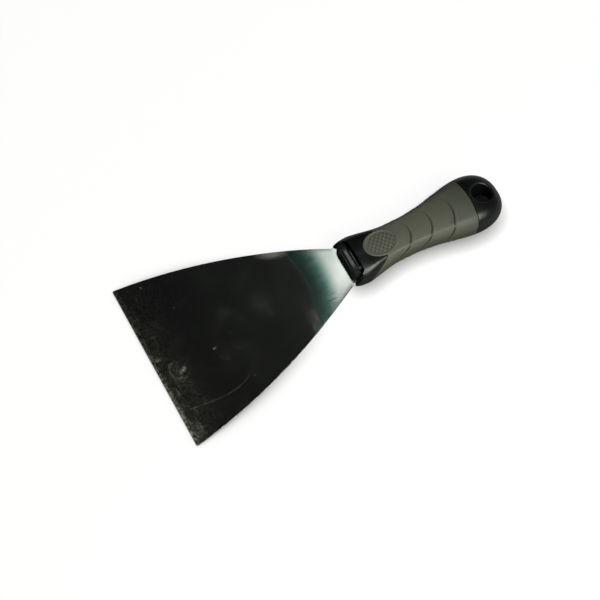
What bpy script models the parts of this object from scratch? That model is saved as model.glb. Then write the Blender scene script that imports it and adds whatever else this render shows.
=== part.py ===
# Filling knife: a fanned spring-steel blade moulded into a soft-grip handle.
# X runs from the scraping edge to the tail, Y runs across, Z is up and the bench is z = 0.
# Every piece is drawn from the nose of the handle, where x = 0 and z = 0 is the handle's axis.
import bpy
import bmesh
import math
from mathutils import Vector

# Blade
blade_width = 0.1000
blade_length = 0.1130
ground_length = 0.0900
neck_width = 0.0246
side_straight_share = 0.38
stock_thickness = 0.0010
edge_thickness = 0.0005
corner_radius = 0.0008

# Tang, the part of the blade inside the handle
shoulder_start = 0.0012
shoulder_end = 0.0105
tang_width = 0.0110
tang_end_width = 0.0092
tang_length = 0.0560
key_hole_diameter = 0.0054
key_hole_from_nose = 0.0260
key_hole_pitch = 0.0180
key_hole_count = 2

# Handle: places measured from the nose, or to the end of the tail
handle_length = 0.0960
collar_from_nose = 0.0095
waist_from_nose = 0.0330
swell_to_end_length = 0.0185
nose_width = 0.0252
collar_width = 0.0282
waist_width = 0.0208
swell_width = 0.0326
nose_height = 0.0164
collar_height = 0.0174
waist_height = 0.0154
swell_height = 0.0204
# Widths of the crowned top and bottom faces, between the two long ridges
nose_face = 0.0164
collar_face = 0.0184
waist_face = 0.0172
swell_face = 0.0206
crown_share = 0.11
side_shoulder_share = 0.55
line_fall_power = 1.10
waist_lead = 0.75
swell_lead = 1.35
tail_width_power = 2.3
tail_height_power = 1.9

# Collar front: two fangs along the neck's edges and an open mouth between them
fang_start = 0.0016
fang_tip_thickness = 0.0006
fang_curve_power = 2.2
collar_front = 0.0082
ridge_front = 0.0066
mouth_width = 0.0216
mouth_corner = 0.0022
mouth_straight = 0.0036

# Block moulded round the tang, with its lips in front of the collar
lip_front = 0.0016
lip_back = 0.0066
lip_rise_length = 0.0025
lip_width = 0.0206
lip_corner = 0.0030
lip_height = 0.0146
lip_front_height = 0.0034
lip_back_round = 0.0022
block_neck_width = 0.0152
block_neck_height = 0.0092
block_waist_width = 0.0142
block_waist_height = 0.0068
block_length = 0.0590
block_end_round = 0.0020
block_section_power = 0.68

# Soft grip, between the black collar and the black tail; rings as shares of its length on top
grip_wall = 0.0020
collar_top_length = 0.0180
collar_ridge_length = 0.0232
collar_side_length = 0.0112
tail_top_length = 0.0184
tail_ridge_length = 0.0192
tail_side_length = 0.0222
ring_shares = (0.312, 0.546, 0.790)
ring_ridge_sweep = 0.0026
first_ring_sweep = 0.0115
last_ring_sweep = 0.0089
groove_width = 0.0010
groove_depth = 0.0005
pad_length = 0.0200
pad_width = 0.0152
pad_rim_height = 0.0005
pad_field_height = 0.0002
pad_floor_share = 0.55
pad_ring_shares = ((1.00, 0.40), (0.95, 1.00), (0.88, 1.00), (0.83, 0.00), (0.45, 0.00))

# Hang hole through the tail
hang_hole_diameter = 0.0112
hang_hole_to_end_length = 0.0104
hang_hole_flare = 0.0012
hang_hole_flare_depth = 0.0030

gap = 0.0003
overrun = 0.0050

# Numbers of steps
ground_steps = 14
set_steps = 7
shoulder_steps = 8
arc_steps = 6
nose_steps = 7
front_steps = 6
ring_gap_steps = 3
core_steps = 10
tail_steps = 11
circle_steps = 36

axis_height = swell_height / 2
swell_from_nose = handle_length - swell_to_end_length
hang_hole_from_nose = handle_length - hang_hole_to_end_length
overall_length = blade_length + handle_length
nose_x = overall_length / 2 - handle_length
edge_half_thickness = edge_thickness / 2
set_length = blade_length - ground_length
blade_slope = (axis_height - edge_half_thickness) / (ground_length + set_length / 2)


def blend(first, last, share, lead):
    """Ease from one size to another; a lead above 1 makes the change come late."""
    t = share ** lead
    return first + (last - first) * t * t * (3 - 2 * t)


def along_handle(x, nose, collar, waist, swell, tail_power):
    """Half of a handle size at a distance from the nose."""
    if x < collar_from_nose:
        t = max(x, 0) / collar_from_nose
        return (nose + (collar - nose) * (1 - (1 - t) ** 2)) / 2
    if x < waist_from_nose:
        t = (x - collar_from_nose) / (waist_from_nose - collar_from_nose)
        return blend(collar, waist, t, waist_lead) / 2
    if x < swell_from_nose:
        t = (x - waist_from_nose) / (swell_from_nose - waist_from_nose)
        return blend(waist, swell, t, swell_lead) / 2
    t = min((x - swell_from_nose) / (handle_length - swell_from_nose), 1)
    return swell / 2 * (1 - t ** tail_power) ** (1 / tail_power)


def half_width(x):
    return along_handle(x, nose_width, collar_width, waist_width, swell_width, tail_width_power)


def half_height(x):
    return along_handle(x, nose_height, collar_height, waist_height, swell_height, tail_height_power)


def half_face(x):
    return along_handle(x, nose_face, collar_face, waist_face, swell_face, tail_width_power)


def make_spokes():
    """Places round the handle: signs of y and z, the share across the face, the angle down the side."""
    quarter = math.pi / 2
    steps = range(arc_steps)
    rising = [(1, quarter * (1 - i / arc_steps)) for i in steps]
    rising += [(math.sin(quarter * (1 - i / arc_steps)), 0) for i in steps]
    falling = [(math.sin(quarter * i / arc_steps), 0) for i in steps]
    falling += [(1, quarter * i / arc_steps) for i in steps]
    spokes = [(1, 1, s, a) for s, a in rising]
    spokes += [(-1, 1, s, a) for s, a in falling]
    spokes += [(-1, -1, s, a) for s, a in rising]
    spokes += [(1, -1, s, a) for s, a in falling]
    return spokes


spokes = make_spokes()


def curve_point(controls, t):
    """A point of the cubic curve that four control points draw."""
    weights = ((1 - t) ** 3, 3 * t * (1 - t) ** 2, 3 * t * t * (1 - t), t ** 3)
    return [sum(w * control[axis] for w, control in zip(weights, controls)) for axis in (0, 1)]


def skin_point(x, spoke, inset):
    """A point of the handle's surface, or of the same surface set inwards."""
    y_sign, z_sign, across, down = spoke
    width = half_width(x) - inset
    height = half_height(x) - inset
    face = half_face(x) - inset / 2
    if down == 0:
        y = face * across
        z = height * (1 - crown_share * across ** 2)
    else:
        ridge_height = height * (1 - crown_share)
        reach = (width - face) * side_shoulder_share
        fall = reach * 2 * crown_share * height / face
        curve = ((face, ridge_height), (face + reach, ridge_height - fall),
                 (width, ridge_height * side_shoulder_share), (width, 0))
        y, z = curve_point(curve, down / (math.pi / 2))
    return Vector((x, y_sign * y, z_sign * z))


def skin_height(x, y):
    return half_height(x) * (1 - crown_share * (y / half_face(x)) ** 2)


def curve_round(top, ridge, side):
    """Distances from the nose of a line round the handle, one for each spoke."""
    line = []
    for y_sign, z_sign, across, down in spokes:
        if down == 0:
            line.append(top + (ridge - top) * across ** 2)
        else:
            line.append(ridge + (side - ridge) * (1 - math.cos(down) ** line_fall_power))
    return line


def mix_lines(first, last, share):
    return [a + (b - a) * share for a, b in zip(first, last)]


def moved_line(line, distance):
    """The line moved along the handle so that it keeps a distance measured square to itself."""
    points = [skin_point(x, spoke, 0) for x, spoke in zip(line, spokes)]
    moved = []
    for i, x in enumerate(line):
        steepest = 0
        for j in (i - 1, (i + 1) % len(line)):
            round_step = (points[j].yz - points[i].yz).length
            steepest = max(steepest, abs(line[j] - x) / round_step)
        moved.append(x + distance * math.sqrt(1 + steepest ** 2))
    return moved


def skin_ring(line, inset):
    return [skin_point(x, spoke, inset) for x, spoke in zip(line, spokes)]


def make_object(name, bm):
    bent = [face for face in bm.faces if len(face.verts) == 4]
    bmesh.ops.triangulate(bm, faces=bent)
    bmesh.ops.recalc_face_normals(bm, faces=bm.faces)
    mesh = bpy.data.meshes.new(name)
    bm.to_mesh(mesh)
    bm.free()
    thing = bpy.data.objects.new(name, mesh)
    bpy.context.collection.objects.link(thing)
    thing.parent = knife
    return thing


def loft(name, rings, tip=None):
    """A closed body through rings of points, with flat ends or a last point."""
    bm = bmesh.new()
    loops = [[bm.verts.new(point) for point in ring] for ring in rings]
    for near, far in zip(loops, loops[1:]):
        for i in range(len(near)):
            j = (i + 1) % len(near)
            bm.faces.new((near[i], near[j], far[j], far[i]))
    bm.faces.new(loops[0])
    if tip is None:
        bm.faces.new(loops[-1])
    else:
        last = bm.verts.new(tip)
        for i in range(len(loops[-1])):
            bm.faces.new((loops[-1][i], loops[-1][(i + 1) % len(loops[-1])], last))
    return make_object(name, bm)


def prism(name, outline, direction):
    """A closed body: a flat outline moved by the direction, half to each side."""
    rings = [[Vector(p) - direction / 2 for p in outline], [Vector(p) + direction / 2 for p in outline]]
    return loft(name, rings)


def as_cutter(thing):
    thing.hide_render = True
    thing.display_type = "WIRE"
    return thing


def combine(thing, other, operation):
    modifier = thing.modifiers.new(other.name, "BOOLEAN")
    modifier.operation = operation
    modifier.solver = "EXACT"
    modifier.object = as_cutter(other)


def finish_piece(thing, colour, roughness, metallic):
    material = bpy.data.materials.new(thing.name)
    material.use_nodes = True
    shader = material.node_tree.nodes["Principled BSDF"]
    shader.inputs["Base Color"].default_value = colour
    shader.inputs["Roughness"].default_value = roughness
    shader.inputs["Metallic"].default_value = metallic
    thing.data.materials.append(material)
    thing.data.shade_smooth()
    thing.data.set_sharp_from_angle(angle=math.radians(35))


def blade_half(x):
    """Half width of the blade and its tang; x is negative in front of the handle."""
    if x <= 0:
        t = 1 + x / blade_length
        draw_in = side_straight_share * t + (1 - side_straight_share) * t * t
        return blade_width / 2 - (blade_width - neck_width) / 2 * draw_in
    if x < shoulder_start:
        return neck_width / 2
    if x < shoulder_end:
        t = (x - shoulder_start) / (shoulder_end - shoulder_start)
        return blend(neck_width, tang_width, t, 1) / 2
    t = (x - shoulder_end) / (tang_length - shoulder_end)
    return (tang_width + (tang_end_width - tang_width) * t) / 2


def blade_stations():
    """Distances from the nose and half widths, from the scraping edge to the tang's round end."""
    stations = []
    for i in range(arc_steps):
        angle = math.pi / 2 * i / arc_steps
        back = corner_radius * (1 - math.cos(angle))
        side = blade_half(corner_radius - blade_length) - corner_radius * (1 - math.sin(angle))
        stations.append((back - blade_length, side))
    for i in range(ground_steps + 1):
        x = corner_radius + (ground_length - corner_radius) * i / ground_steps - blade_length
        stations.append((x, blade_half(x)))
    for i in range(1, set_steps + 1):
        x = -set_length * (1 - i / set_steps)
        stations.append((x, blade_half(x)))
    for i in range(shoulder_steps + 1):
        x = shoulder_start + (shoulder_end - shoulder_start) * i / shoulder_steps
        stations.append((x, blade_half(x)))
    end_radius = tang_end_width / 2
    for i in range(arc_steps):
        angle = math.pi / 2 * i / arc_steps
        x = tang_length - end_radius * (1 - math.sin(angle))
        stations.append((x, end_radius * math.cos(angle)))
    return stations


def blade_middle(x):
    """Height of the blade's middle surface: straight, then turned level where it meets the nose."""
    from_edge = x + blade_length
    if from_edge <= ground_length:
        return edge_half_thickness - axis_height + blade_slope * from_edge
    if x < 0:
        return -blade_slope * x * x / (2 * set_length)
    return 0


def blade_half_thickness(x):
    from_edge = min(x + blade_length, ground_length)
    return (edge_thickness + (stock_thickness - edge_thickness) * from_edge / ground_length) / 2


def make_blade():
    """The blade as two skins: a flat ground face, the curved set and the flat tang, closed by its sides."""
    bm = bmesh.new()
    stations = blade_stations()
    corners = {}
    for i, (x, side) in enumerate(stations):
        for face in (1, -1):
            z = blade_middle(x) + face * blade_half_thickness(x)
            for hand in (1, -1):
                corners[i, face, hand] = bm.verts.new((x, hand * side, z))
    last = len(stations) - 1
    ground_end = arc_steps + ground_steps
    set_end = ground_end + set_steps
    spans = [(0, ground_end)]
    spans += [(i, i + 1) for i in range(ground_end, set_end)]
    spans += [(set_end, last)]
    for face in (1, -1):
        for first, end in spans:
            one_side = [corners[i, face, 1] for i in range(first, end + 1)]
            other_side = [corners[i, face, -1] for i in range(end, first - 1, -1)]
            bm.faces.new(one_side + other_side)
    for i in range(last):
        for hand in (1, -1):
            bm.faces.new((corners[i, 1, hand], corners[i + 1, 1, hand],
                          corners[i + 1, -1, hand], corners[i, -1, hand]))
    for i in (0, last):
        bm.faces.new((corners[i, 1, 1], corners[i, 1, -1], corners[i, -1, -1], corners[i, -1, 1]))
    blade = make_object("blade", bm)
    holes = key_holes("key_holes", key_hole_diameter / 2, stock_thickness + overrun)
    combine(blade, holes, "DIFFERENCE")
    finish_piece(blade, (0.60, 0.61, 0.60, 1), 0.22, 1)
    return blade


def circle(x, z, radius):
    angles = [2 * math.pi * i / circle_steps for i in range(circle_steps)]
    return [(x + radius * math.cos(a), radius * math.sin(a), z) for a in angles]


def key_holes(name, radius, height):
    """Round plugs, one for each keying hole of the tang."""
    bm = bmesh.new()
    for i in range(key_hole_count):
        x = key_hole_from_nose + key_hole_pitch * i
        low = [bm.verts.new(p) for p in circle(x, -height / 2, radius)]
        high = [bm.verts.new(p) for p in circle(x, height / 2, radius)]
        bm.faces.new(low)
        bm.faces.new(high)
        for j in range(circle_steps):
            k = (j + 1) % circle_steps
            bm.faces.new((low[j], low[k], high[k], high[j]))
    return make_object(name, bm)


def tang_room(name):
    """The space that the neck and tang take up, with the gap all round."""
    outline = [(-overrun, blade_half(-overrun) + gap, 0)]
    outline += [(x, side + gap, 0) for x, side in blade_stations() if x >= 0]
    outline.append((tang_length + gap, outline[-1][1], 0))
    outline += [(x, -y, z) for x, y, z in reversed(outline)]
    return prism(name, outline, Vector((0, 0, stock_thickness + 2 * gap)))


def block_sizes():
    """Places, half widths and half heights of the tang block, from its lips to its round end."""
    sizes = []
    for i in range(arc_steps + 1):
        angle = math.pi / 2 * i / arc_steps
        x = lip_front + lip_rise_length * (1 - math.cos(angle))
        width = lip_width / 2 - lip_corner * (1 - math.sin(angle))
        height = (lip_front_height + (lip_height - lip_front_height) * math.sin(angle)) / 2
        sizes.append((x, width, height))
    for i in range(arc_steps + 1):
        angle = math.pi / 2 * i / arc_steps
        x = lip_back - lip_back_round * (1 - math.sin(angle))
        smaller = lip_back_round * (1 - math.cos(angle))
        sizes.append((x, lip_width / 2 - smaller, lip_height / 2 - smaller))
    sizes.append((lip_back, block_neck_width / 2, block_neck_height / 2))
    sizes.append((shoulder_end, block_neck_width / 2, block_neck_height / 2))
    sizes.append((waist_from_nose, block_waist_width / 2, block_waist_height / 2))
    body_end = block_length - block_end_round
    for i in range(arc_steps):
        angle = math.pi / 2 * i / arc_steps
        x = body_end + block_end_round * math.sin(angle)
        smaller = block_end_round * (1 - math.cos(angle))
        sizes.append((x, block_waist_width / 2 - smaller, block_waist_height / 2 - smaller))
    return sizes


def block_ring(x, width, height):
    """A rounded oblong section of the tang block."""
    ring = []
    for i in range(circle_steps):
        angle = 2 * math.pi * i / circle_steps
        y = math.copysign(abs(math.cos(angle)) ** block_section_power, math.cos(angle)) * width
        z = math.copysign(abs(math.sin(angle)) ** block_section_power, math.sin(angle)) * height
        ring.append(Vector((x, y, z)))
    return ring


def make_tang_block():
    """The block that was moulded round the tang, keyed through its holes."""
    block = loft("tang_block", [block_ring(*size) for size in block_sizes()])
    room = tang_room("tang_space")
    pins = key_holes("key_pins", key_hole_diameter / 2 - gap, stock_thickness + overrun)
    combine(room, pins, "DIFFERENCE")
    combine(block, room, "DIFFERENCE")
    finish_piece(block, (0.012, 0.013, 0.013, 1), 0.25, 0)
    return block


def fang_cutter():
    """Cuts the collar's front, seen from the side, back from the two fangs."""
    slot_top = stock_thickness / 2 + gap
    ridge_height = half_height(ridge_front) * (1 - crown_share)
    above = half_height(collar_from_nose) + overrun
    upper = []
    for i in range(arc_steps + 1):
        t = i / arc_steps
        x = ridge_front - (ridge_front - fang_start) * (1 - t) ** fang_curve_power
        upper.append((x, 0, slot_top + (ridge_height - slot_top) * t))
    upper.append((collar_front, 0, half_height(collar_front)))
    upper.append((collar_front, 0, above))
    upper.append((-overrun, 0, above))
    lower = [(x, y, -z) for x, y, z in reversed(upper)]
    return prism("fang_cutter", upper + lower, Vector((0, collar_width + overrun, 0)))


def mouth_cutter():
    """Cuts the open mouth between the fangs, seen from above, for the lips to stand in."""
    half = mouth_width / 2
    tip_half = nose_width / 2 - fang_tip_thickness
    side = [(-overrun, tip_half, 0)]
    for i in range(arc_steps + 1):
        t = i / arc_steps
        x = fang_start + (mouth_straight - fang_start) * t
        side.append((x, half + (tip_half - half) * (1 - t) ** 2, 0))
    for i in range(arc_steps + 1):
        angle = math.pi / 2 * i / arc_steps
        x = collar_front - mouth_corner * (1 - math.sin(angle))
        side.append((x, half - mouth_corner * (1 - math.cos(angle)), 0))
    other = [(x, -y, z) for x, y, z in reversed(side)]
    return prism("mouth_cutter", side + other, Vector((0, 0, collar_height + overrun)))


def block_room():
    """The space for the tang block behind the mouth, with the gap all round."""
    rings = []
    for x, width, height in block_sizes():
        if x >= shoulder_end:
            rings.append(block_ring(x + gap, width + gap, height + gap))
    rings.insert(0, block_ring(lip_back, block_neck_width / 2 + gap, block_neck_height / 2 + gap))
    return loft("block_space", rings)


def hang_hole_cutter():
    """A through bore whose two mouths flare into rounded rims."""
    top = half_height(hang_hole_from_nose)
    sizes = []
    for i in range(arc_steps + 1):
        share = i / arc_steps
        z = top - hang_hole_flare_depth * (1 - share)
        sizes.append((z, hang_hole_diameter / 2 + hang_hole_flare * share ** 2))
    sizes.append((top + overrun, sizes[-1][1]))
    sizes = [(-z, radius) for z, radius in reversed(sizes)] + sizes
    return loft("hang_hole", [circle(hang_hole_from_nose, z, radius) for z, radius in sizes])


def pad_oval(centre, long_half, wide_half):
    """Points of an oval drawn on the handle's upper face."""
    points = []
    for i in range(circle_steps):
        angle = 2 * math.pi * i / circle_steps
        x = centre + long_half * math.cos(angle)
        y = wide_half * math.sin(angle)
        points.append((x, y, skin_height(x, y)))
    return points


def pad_plug(name, side, extra):
    """The raised thumb pad as an oval plug; extra makes the pocket that it sits in."""
    floor = waist_height / 2 - grip_wall * pad_floor_share - extra
    centre = collar_ridge_length
    long_half = pad_length / 2 + extra
    wide_half = pad_width / 2 + extra
    rim_above_field = pad_rim_height - pad_field_height
    raises = [pad_field_height + rim_above_field * rim_share for _, rim_share in pad_ring_shares]
    if extra > 0:
        raises = [overrun for _ in pad_ring_shares]
    rings = [[(x, y, side * floor) for x, y, _ in pad_oval(centre, long_half, wide_half)]]
    for (size_share, _), raised in zip(pad_ring_shares, raises):
        oval = pad_oval(centre, long_half * size_share, wide_half * size_share)
        rings.append([(x, y, side * (z + raised)) for x, y, z in oval])
    tip = (centre, 0, side * (skin_height(centre, 0) + raises[-1]))
    return loft(name, rings, tip)


def grip_lines():
    """The soft grip's front and back edges and the three ring grooves between them."""
    front = curve_round(collar_top_length, collar_ridge_length, collar_side_length)
    tail_lengths = (tail_top_length, tail_ridge_length, tail_side_length)
    back = curve_round(*[handle_length - length for length in tail_lengths])
    grip_length = handle_length - tail_top_length - collar_ridge_length
    rings = []
    for i, share in enumerate(ring_shares):
        top = collar_ridge_length + grip_length * share
        sweep = first_ring_sweep + (last_ring_sweep - first_ring_sweep) * i / (len(ring_shares) - 1)
        rings.append(curve_round(top, top - ring_ridge_sweep, top - sweep))
    return front, rings, back


def make_handle_body():
    """The hard black moulding: collar, core under the grip and tail."""
    front, _, back = grip_lines()
    nose = [0] * len(spokes)
    front_step = moved_line(front, -gap)
    back_step = moved_line(back, gap)
    rings = []
    for i in range(nose_steps + 1):
        rings.append(skin_ring(mix_lines(nose, front_step, i / nose_steps), 0))
    for i in range(core_steps + 1):
        rings.append(skin_ring(mix_lines(front_step, back_step, i / core_steps), grip_wall + gap))
    tail = [handle_length] * len(spokes)
    for i in range(tail_steps):
        share = math.sin(math.pi / 2 * i / tail_steps)
        rings.append(skin_ring(mix_lines(back_step, tail, share), 0))
    body = loft("handle_body", rings, (handle_length, 0, 0))
    combine(body, fang_cutter(), "DIFFERENCE")
    combine(body, mouth_cutter(), "DIFFERENCE")
    combine(body, block_room(), "DIFFERENCE")
    combine(body, tang_room("neck_space"), "DIFFERENCE")
    combine(body, hang_hole_cutter(), "DIFFERENCE")
    combine(body, pad_plug("upper_pocket", 1, gap), "DIFFERENCE")
    combine(body, pad_plug("lower_pocket", -1, gap), "DIFFERENCE")
    finish_piece(body, (0.009, 0.010, 0.010, 1), 0.28, 0)
    return body


def make_soft_grip():
    """The grey sleeve moulded over the body, with its ring grooves and two thumb pads."""
    front, ring_lines, back = grip_lines()
    bm = bmesh.new()
    outside = [skin_ring(front, 0)]
    previous = front
    steps = front_steps
    for line in ring_lines:
        before = [x - groove_width / 2 for x in line]
        after = [x + groove_width / 2 for x in line]
        for i in range(1, steps + 1):
            outside.append(skin_ring(mix_lines(previous, before, i / steps), 0))
        outside.append(skin_ring(line, groove_depth))
        outside.append(skin_ring(after, 0))
        previous = after
        steps = ring_gap_steps
    for i in range(1, steps + 1):
        outside.append(skin_ring(mix_lines(previous, back, i / steps), 0))
    inside = [skin_ring(mix_lines(back, front, i / core_steps), grip_wall) for i in range(core_steps + 1)]
    loops = [[bm.verts.new(point) for point in ring] for ring in outside + inside]
    for near, far in zip(loops, loops[1:] + loops[:1]):
        for i in range(len(spokes)):
            j = (i + 1) % len(spokes)
            bm.faces.new((near[i], near[j], far[j], far[i]))
    grip = make_object("soft_grip", bm)
    combine(grip, pad_plug("upper_pad", 1, 0), "UNION")
    combine(grip, pad_plug("lower_pad", -1, 0), "UNION")
    finish_piece(grip, (0.105, 0.110, 0.084, 1), 0.75, 0)
    return grip


for thing in list(bpy.data.objects):
    bpy.data.objects.remove(thing)

knife = bpy.data.objects.new("knife", None)
bpy.context.collection.objects.link(knife)
knife.location = (nose_x, 0, axis_height)

make_blade()
make_tang_block()
make_handle_body()
make_soft_grip()
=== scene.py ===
import bpy
import bmesh
import math
from mathutils import Matrix, Vector


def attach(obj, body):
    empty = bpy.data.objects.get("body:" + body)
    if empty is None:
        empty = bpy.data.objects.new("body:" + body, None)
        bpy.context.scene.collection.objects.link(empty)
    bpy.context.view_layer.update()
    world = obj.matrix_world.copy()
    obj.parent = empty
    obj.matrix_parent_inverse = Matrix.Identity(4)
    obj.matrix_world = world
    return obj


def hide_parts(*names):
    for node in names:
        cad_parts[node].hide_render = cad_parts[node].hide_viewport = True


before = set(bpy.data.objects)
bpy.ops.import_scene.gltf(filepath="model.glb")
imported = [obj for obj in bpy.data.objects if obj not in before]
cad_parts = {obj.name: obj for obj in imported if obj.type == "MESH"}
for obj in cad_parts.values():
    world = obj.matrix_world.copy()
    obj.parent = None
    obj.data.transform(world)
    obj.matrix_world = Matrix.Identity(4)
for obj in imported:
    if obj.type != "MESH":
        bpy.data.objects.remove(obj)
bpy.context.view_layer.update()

# The knife lies along X with its scraping edge at -X. Shapes are drawn in metres from the
# nose of the handle (x = 0) and from the handle's axis (z = 0), and moved here at the end.
noseX = 0.0085
axisZ = 0.0102
mm = 0.001


def linearColour(hexColour):
    # sRGB hex to the linear colour that a socket wants
    parts = [int(hexColour[i:i + 2], 16) / 255 for i in (1, 3, 5)]
    return [p / 12.92 if p <= 0.04045 else ((p + 0.055) / 1.055) ** 2.4 for p in parts] + [1]


def setNode(tree, node, settings):
    # lower-case settings belong to the node; the others, and numbers, are its sockets, which
    # take a value, another node's socket, or another node, of which they take the first output
    for key, value in settings.items():
        if key == "stops":
            ramp = node.color_ramp
            while len(ramp.elements) < len(value):
                ramp.elements.new(0.5)
            for element, (position, colour) in zip(ramp.elements, value):
                element.position = position
                element.color = linearColour(colour)
        elif key == "curvePoints":
            line = node.mapping.curves[0]
            while len(line.points) < len(value):
                line.points.new(0.5, 0.5)
            for point, place in zip(line.points, value):
                point.location = place
            node.mapping.update()
        elif isinstance(key, str) and key[0].islower():
            setattr(node, key, value)
        elif isinstance(value, bpy.types.Node):
            tree.links.new(value.outputs[0], node.inputs[key])
        elif isinstance(value, bpy.types.NodeSocket):
            tree.links.new(value, node.inputs[key])
        else:
            node.inputs[key].default_value = value
    return node


def addNode(tree, kind, settings=None):
    return setNode(tree, tree.nodes.new("ShaderNode" + kind), settings or {})


def calculate(tree, operation, *parts):
    return addNode(tree, "Math", {"operation": operation, **dict(enumerate(parts))})


def awayFrom(tree, value, middle):
    return calculate(tree, "ABSOLUTE", calculate(tree, "SUBTRACT", value, middle))


def mapRange(tree, value, span, smooth=False):
    # span: where it starts and ends, then the results there, which are 0 and 1 if left out
    start, end, least, most = (*span, 0, 1)[:4]
    return addNode(tree, "MapRange", {"interpolation_type": "SMOOTHSTEP" if smooth else "LINEAR",
                                      "Value": value, "From Min": start, "From Max": end,
                                      "To Min": least, "To Max": most})


def addNoise(tree, place, noise, flat=False):
    # noise: size of its marks, detail, and roughness if it isn't 0.5
    size, detail, roughness = (*noise, 0.5)[:3]
    return addNode(tree, "TexNoise", {"noise_dimensions": "2D" if flat else "3D", "Vector": place,
                                      "Scale": 1 / size, "Detail": detail, "Roughness": roughness})


def drawOut(tree, place, turn, scale, shift=0):
    # turns a pattern and stretches it into lines
    return addNode(tree, "Mapping", {"Vector": place, "Location": (shift, 0, 0), "Rotation": (0, 0, turn),
                                     "Scale": scale})


def mixColour(tree, share, first, second):
    # a colour is a hex value or what another node gives
    first, second = [linearColour(c) if isinstance(c, str) else c for c in (first, second)]
    return addNode(tree, "Mix", {"data_type": "RGBA", 0: share, 6: first, 7: second}).outputs[2]


def newMaterial(name):
    material = bpy.data.materials.new(name)
    material.use_nodes = True
    tree = material.node_tree
    return material, tree, tree.nodes["Principled BSDF"]


def mappedGrid(columns, rows, place, recess=None):
    # a grid whose columns and rows are moved to their places; equal places are joined
    bm = bmesh.new()
    bmesh.ops.create_grid(bm, x_segments=columns, y_segments=rows, size=0.5)
    depths = bm.verts.layers.float.new("recess")
    for vert in bm.verts:
        column = round((vert.co.x + 0.5) * columns)
        row = round((vert.co.y + 0.5) * rows)
        vert.co = place(column, row)
        if recess:
            vert[depths] = recess(column, row)
    bmesh.ops.remove_doubles(bm, verts=bm.verts, dist=1e-6)
    bmesh.ops.recalc_face_normals(bm, faces=bm.faces)
    return bm


def addPiece(name, bm, material, nodes, sharpAngle=40):
    bmesh.ops.translate(bm, verts=bm.verts, vec=(noseX, 0, axisZ))
    mesh = bpy.data.meshes.new(name)
    bm.to_mesh(mesh)
    bm.free()
    mesh.materials.append(material)
    mesh.shade_smooth()
    mesh.set_sharp_from_angle(angle=math.radians(sharpAngle))
    piece = bpy.data.objects.new(name, mesh)
    bpy.context.collection.objects.link(piece)
    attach(piece, "root")
    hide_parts(*nodes)
    print("piece", name, len(mesh.polygons), "faces")


def outlineSolid(outline, direction):
    # a flat outline drawn out to a solid, half to each side
    bm = bmesh.new()
    face = bm.faces.new([bm.verts.new(Vector(p) - direction / 2) for p in outline])
    drawn = bmesh.ops.extrude_face_region(bm, geom=[face])
    moved = [g for g in drawn["geom"] if isinstance(g, bmesh.types.BMVert)]
    bmesh.ops.translate(bm, verts=moved, vec=direction)
    bmesh.ops.recalc_face_normals(bm, faces=bm.faces)
    return bm


def cutAway(bm, cutters):
    # takes the cutters out of the shape with Boolean modifiers, applied at once
    things = []
    for i, shape in enumerate([bm] + cutters):
        mesh = bpy.data.meshes.new("cutting" + str(i))
        shape.to_mesh(mesh)
        shape.free()
        thing = bpy.data.objects.new(mesh.name, mesh)
        bpy.context.collection.objects.link(thing)
        things.append(thing)
    for thing in things[1:]:
        modifier = things[0].modifiers.new(thing.name, "BOOLEAN")
        modifier.operation = "DIFFERENCE"
        modifier.solver = "EXACT"
        modifier.object = thing
    depsgraph = bpy.context.evaluated_depsgraph_get()
    result = bmesh.new()
    result.from_mesh(things[0].evaluated_get(depsgraph).to_mesh())
    for thing in things:
        bpy.data.objects.remove(thing)
    return result


# Camera: the place and lens that the photograph was fitted with
cameraData = bpy.data.cameras.new("photoCamera")
cameraData.sensor_width = 36
cameraData.lens = 120
camera = bpy.data.objects.new("photoCamera", cameraData)
bpy.context.collection.objects.link(camera)
camera.matrix_world = Matrix(((0.88055, 0.434371, -0.189613, -0.221254),
                              (-0.473931, 0.803121, -0.361089, -0.388947),
                              (-0.004564, 0.40782, 0.913051, 0.978259),
                              (0, 0, 0, 1)))
bpy.context.scene.camera = camera
bpy.context.scene.view_settings.view_transform = "Standard"

# Light: a big softbox at the side, a small one over the neck, and a room that is pale at the
# horizon and dark overhead, so that flat steel shows dark
light = {
    "sideFrom": (0.23, -0.73, 0.94), "sideSize": (0.70, 0.70),
    "sidePower": 12.7, "sideTint": (0.97, 1.0, 0.86),
    "topFrom": (0.325, 0.430, 1.20), "topTilt": -20, "topSize": (0.28, 0.19),
    "topPower": 0.285, "topTint": (1, 1, 1),
    "room": [(0.0, "#bdbab4"), (0.10, "#605f5d"), (0.35, "#343638"), (0.75, "#0e0f10")],
}


def addSoftbox(name, shape, size, power, tint, matrix):
    data = bpy.data.lights.new(name, "AREA")
    data.shape = shape
    data.size, data.size_y = size
    data.energy = power
    data.color = tint
    lamp = bpy.data.objects.new(name, data)
    lamp.matrix_world = matrix
    lamp.visible_camera = False
    bpy.context.collection.objects.link(lamp)


sideTurn = (-Vector(light["sideFrom"])).to_track_quat("-Z", "Y").to_matrix().to_4x4()
addSoftbox("sideSoftbox", "ELLIPSE", light["sideSize"], light["sidePower"], light["sideTint"],
           Matrix.Translation(light["sideFrom"]) @ sideTurn)
addSoftbox("topSoftbox", "RECTANGLE", light["topSize"], light["topPower"], light["topTint"],
           Matrix.Translation(light["topFrom"]) @ Matrix.Rotation(math.radians(light["topTilt"]), 4, "X"))

world = bpy.data.worlds.new("studioRoom")
bpy.context.scene.world = world
world.use_nodes = True
tree = world.node_tree
tree.nodes.clear()
height = addNode(tree, "SeparateXYZ", {0: addNode(tree, "TexCoord").outputs["Generated"]})
shade = addNode(tree, "ValToRGB", {"stops": light["room"], 0: height.outputs["Z"]})
background = addNode(tree, "Background", {"Color": shade})
addNode(tree, "OutputWorld", {"Surface": background})

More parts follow.
